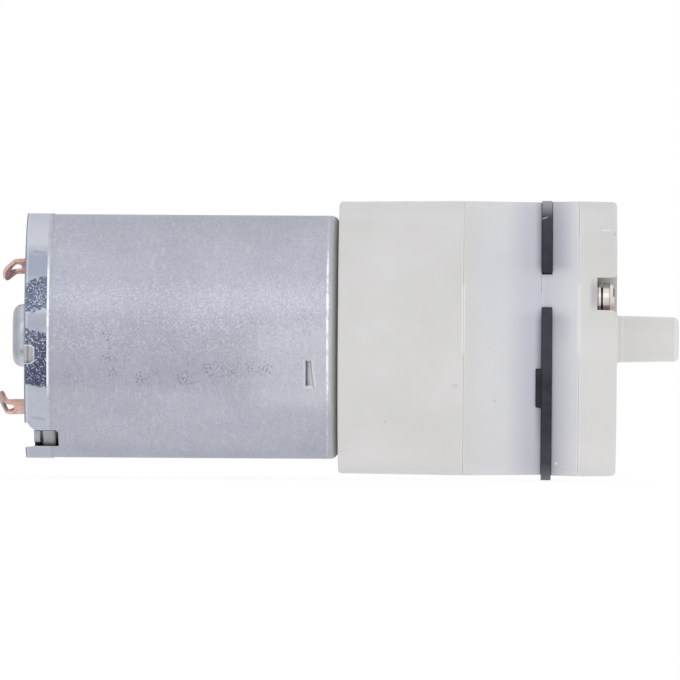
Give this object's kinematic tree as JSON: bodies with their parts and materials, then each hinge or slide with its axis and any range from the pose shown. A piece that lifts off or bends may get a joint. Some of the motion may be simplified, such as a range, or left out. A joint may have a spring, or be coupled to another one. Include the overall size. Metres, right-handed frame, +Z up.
{
  "type": "diaphragm vacuum pump",
  "caption": "Round brushed motor driving a wobble-plate diaphragm pump head of stacked plastic rings, with an axial hose nozzle and rear solder lugs.",
  "frame": {"origin": "on the shaft axis, at the middle of the motor body's clamp zone", "axes": "+X along the shaft toward the hose nozzle, +Z up as in the picture, whose camera looks along +Y"},
  "size_m": [0.0675, 0.0278, 0.0278],
  "materials": {
    "zinc_steel": "zinc plated, satin",
    "plate_steel": "zinc plated, satin",
    "grey_plastic": "moulded, satin",
    "tinned_copper": "pressed copper strip",
    "spring_bronze": "rolled",
    "carbon": "pressed carbon",
    "ferrite": "sintered ferrite",
    "spring_steel": "drawn wire",
    "sintered_bronze": "sintered, oiled",
    "ground_steel": "ground",
    "nylon": "moulded",
    "lamination_steel": "stamped laminations",
    "insulating_card": "fibre card",
    "enamelled_copper": "enamelled wire",
    "phenolic": "moulded",
    "copper": "turned copper",
    "varistor_ceramic": "fired",
    "warm_white_plastic": "moulded, satin, warm white",
    "cool_white_plastic": "moulded, satin, cool white",
    "zinc_screw": "zinc plated",
    "black_rubber": "moulded rubber, matt",
    "nickel_screw": "nickel plated"
  },
  "bodies": {
    "housing": {"motor_can": "zinc_steel", "end_plate": "plate_steel", "brush_holder": "grey_plastic", "terminal_upper": "tinned_copper", "terminal_lower": "tinned_copper", "brush_arms": "spring_bronze", "brushes": "carbon", "magnets": "ferrite", "magnet_clips": "spring_steel", "front_bush": "sintered_bronze", "rear_bush": "sintered_bronze", "pump_base": "warm_white_plastic", "motor_screws": "zinc_screw", "diaphragm": "black_rubber", "diaphragm_holder": "cool_white_plastic", "valve_plate": "cool_white_plastic", "exhaust_valves": "black_rubber", "head_gasket": "black_rubber", "head_cover": "warm_white_plastic", "head_washers": "nickel_screw", "head_screws": "nickel_screw"},
    "rotor": {"shaft": "ground_steel", "thrust_washers": "nylon", "spacer_sleeve": "nylon", "armature_core": "lamination_steel", "core_insulators": "insulating_card", "windings": "enamelled_copper", "commutator_sleeve": "phenolic", "commutator_segments": "copper", "varistor_ring": "varistor_ceramic", "eccentric": "nylon", "drive_pin": "ground_steel"},
    "wobble": {"wobble_plate": "nylon"}
  },
  "joints": [
    {"name": "rotor_spin", "type": "hinge", "parent": "housing", "child": "rotor", "pos_m": [0, 0, 0], "axis": [1, 0, 0], "continuous": true},
    {"name": "wobble_turn", "type": "hinge", "parent": "rotor", "child": "wobble", "pos_m": [0.0275, 0, 0], "axis": [0.9903, 0.1054, 0.0909], "continuous": true, "deforming": ["diaphragm"]}
  ],
  "couplings": [
    {"joint": "wobble_turn", "follows": "rotor_spin", "ratio": -1}
  ]
}
